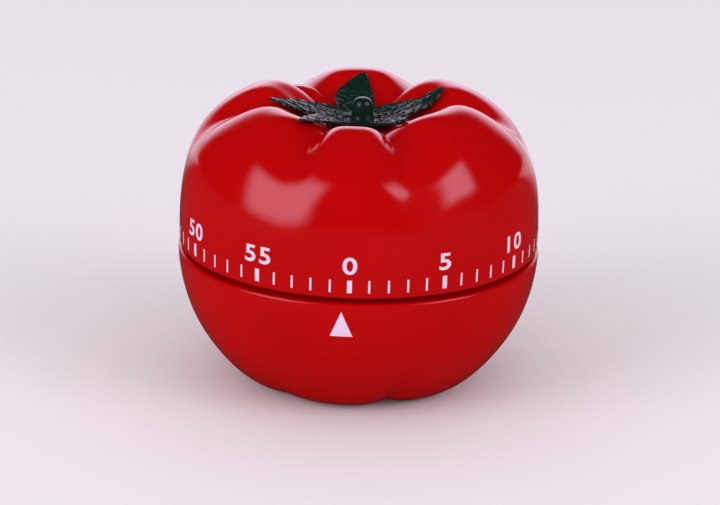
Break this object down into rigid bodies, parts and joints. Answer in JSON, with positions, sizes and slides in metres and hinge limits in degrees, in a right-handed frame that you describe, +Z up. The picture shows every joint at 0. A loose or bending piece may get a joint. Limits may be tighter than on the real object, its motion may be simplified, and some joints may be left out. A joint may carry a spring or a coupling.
{
  "type": "kitchen timer",
  "caption": "Tomato-shaped spring-wound kitchen timer: lobed upper half with minute scale turns on the base, driving a wheel train with bell, hammer and escapement inside.",
  "frame": {"origin": "centre of the flat foot, on the table", "axes": "+Z up along the main arbor, -Y towards the base's pointer"},
  "size_m": [0.0718, 0.0718, 0.0582],
  "materials": {
    "red_shell": "moulded, glossy",
    "calyx_green": "moulded with an embossed scale texture",
    "stem_green": "moulded, glossy",
    "zinc_steel": "zinc plated",
    "bell_steel": "bright nickel plated",
    "plate_steel": "stamped sheet",
    "turned_brass": "turned",
    "wheel_brass": "stamped and hobbed",
    "spring_steel": "blued",
    "arbor_steel": "ground",
    "cam_plastic": "moulded acetal",
    "wheel_plastic": "moulded acetal"
  },
  "bodies": {
    "base": {"lower_shell": "red_shell", "bell": "bell_steel", "bell_screw": "zinc_steel", "bottom_plate": "plate_steel", "top_plate": "plate_steel", "plate_pillars": "turned_brass", "pillar_nuts": "zinc_steel", "plate_screws": "zinc_steel", "lower_bush": "turned_brass", "upper_bush": "turned_brass", "spring_post": "zinc_steel", "mainspring": "spring_steel", "hammer_spring": "spring_steel", "release_pivot": "arbor_steel"},
    "dial": {"upper_shell": "red_shell", "calyx": "calyx_green", "stem": "stem_green", "dial_screw": "zinc_steel", "main_arbor": "arbor_steel", "main_wheel": "wheel_brass", "clutch_spring": "spring_steel", "retaining_clip": "spring_steel", "stop_cam": "cam_plastic"},
    "second_arbor_set": {"second_arbor": "arbor_steel", "second_wheel": "wheel_brass", "ringing_star": "zinc_steel"},
    "third_arbor_set": {"third_arbor": "arbor_steel", "third_wheel": "wheel_brass"},
    "fourth_arbor_set": {"fourth_arbor": "arbor_steel", "fourth_wheel": "wheel_plastic"},
    "escape_arbor_set": {"escape_arbor": "arbor_steel", "escape_wheel": "wheel_plastic"},
    "pallet": {"pallet_arbor": "arbor_steel", "pallet_lever": "turned_brass"},
    "hammer": {"hammer_arbor": "arbor_steel", "hammer_arm": "plate_steel", "hammer_head": "turned_brass", "hammer_tail": "plate_steel"},
    "release": {"release_lever": "plate_steel"}
  },
  "joints": [
    {"name": "dial_turn", "type": "hinge", "parent": "base", "child": "dial", "pos_m": [0, 0, 0], "axis": [0, 0, 1], "range_deg": [-348, 0]},
    {"name": "second_arbor_turn", "type": "hinge", "parent": "base", "child": "second_arbor_set", "pos_m": [0.01516, 0.00875, 0], "axis": [0, 0, 1], "range_deg": [-360, 2448]},
    {"name": "third_arbor_turn", "type": "hinge", "parent": "base", "child": "third_arbor_set", "pos_m": [0.00711, 0.01654, 0], "axis": [0, 0, 1], "range_deg": [-11635.2, 360]},
    {"name": "fourth_arbor_turn", "type": "hinge", "parent": "base", "child": "fourth_arbor_set", "pos_m": [-0.0016, 0.01883, 0], "axis": [0, 0, 1], "range_deg": [-360, 56736]},
    {"name": "escape_wheel_turn", "type": "hinge", "parent": "base", "child": "escape_arbor_set", "pos_m": [-0.01033, 0.01666, 0], "axis": [0, 0, 1], "range_deg": [-282240, 360]},
    {"name": "pallet_rock", "type": "hinge", "parent": "base", "child": "pallet", "pos_m": [-0.01539, 0.01308, 0], "axis": [0, 0, 1], "range_deg": [-5, 5]},
    {"name": "hammer_swing", "type": "hinge", "parent": "base", "child": "hammer", "pos_m": [0.02099, -0.00057, 0], "axis": [0, 0, 1], "range_deg": [0, 4.5]},
    {"name": "release_drop", "type": "hinge", "parent": "base", "child": "release", "pos_m": [-0.00443, -0.01433, 0], "axis": [0, 0, 1], "range_deg": [0, 4]}
  ],
  "couplings": [
    {"joint": "second_arbor_turn", "follows": "dial_turn", "ratio": -6},
    {"joint": "third_arbor_turn", "follows": "dial_turn", "ratio": 32.4},
    {"joint": "fourth_arbor_turn", "follows": "dial_turn", "ratio": -162},
    {"joint": "escape_wheel_turn", "follows": "dial_turn", "ratio": 810}
  ]
}
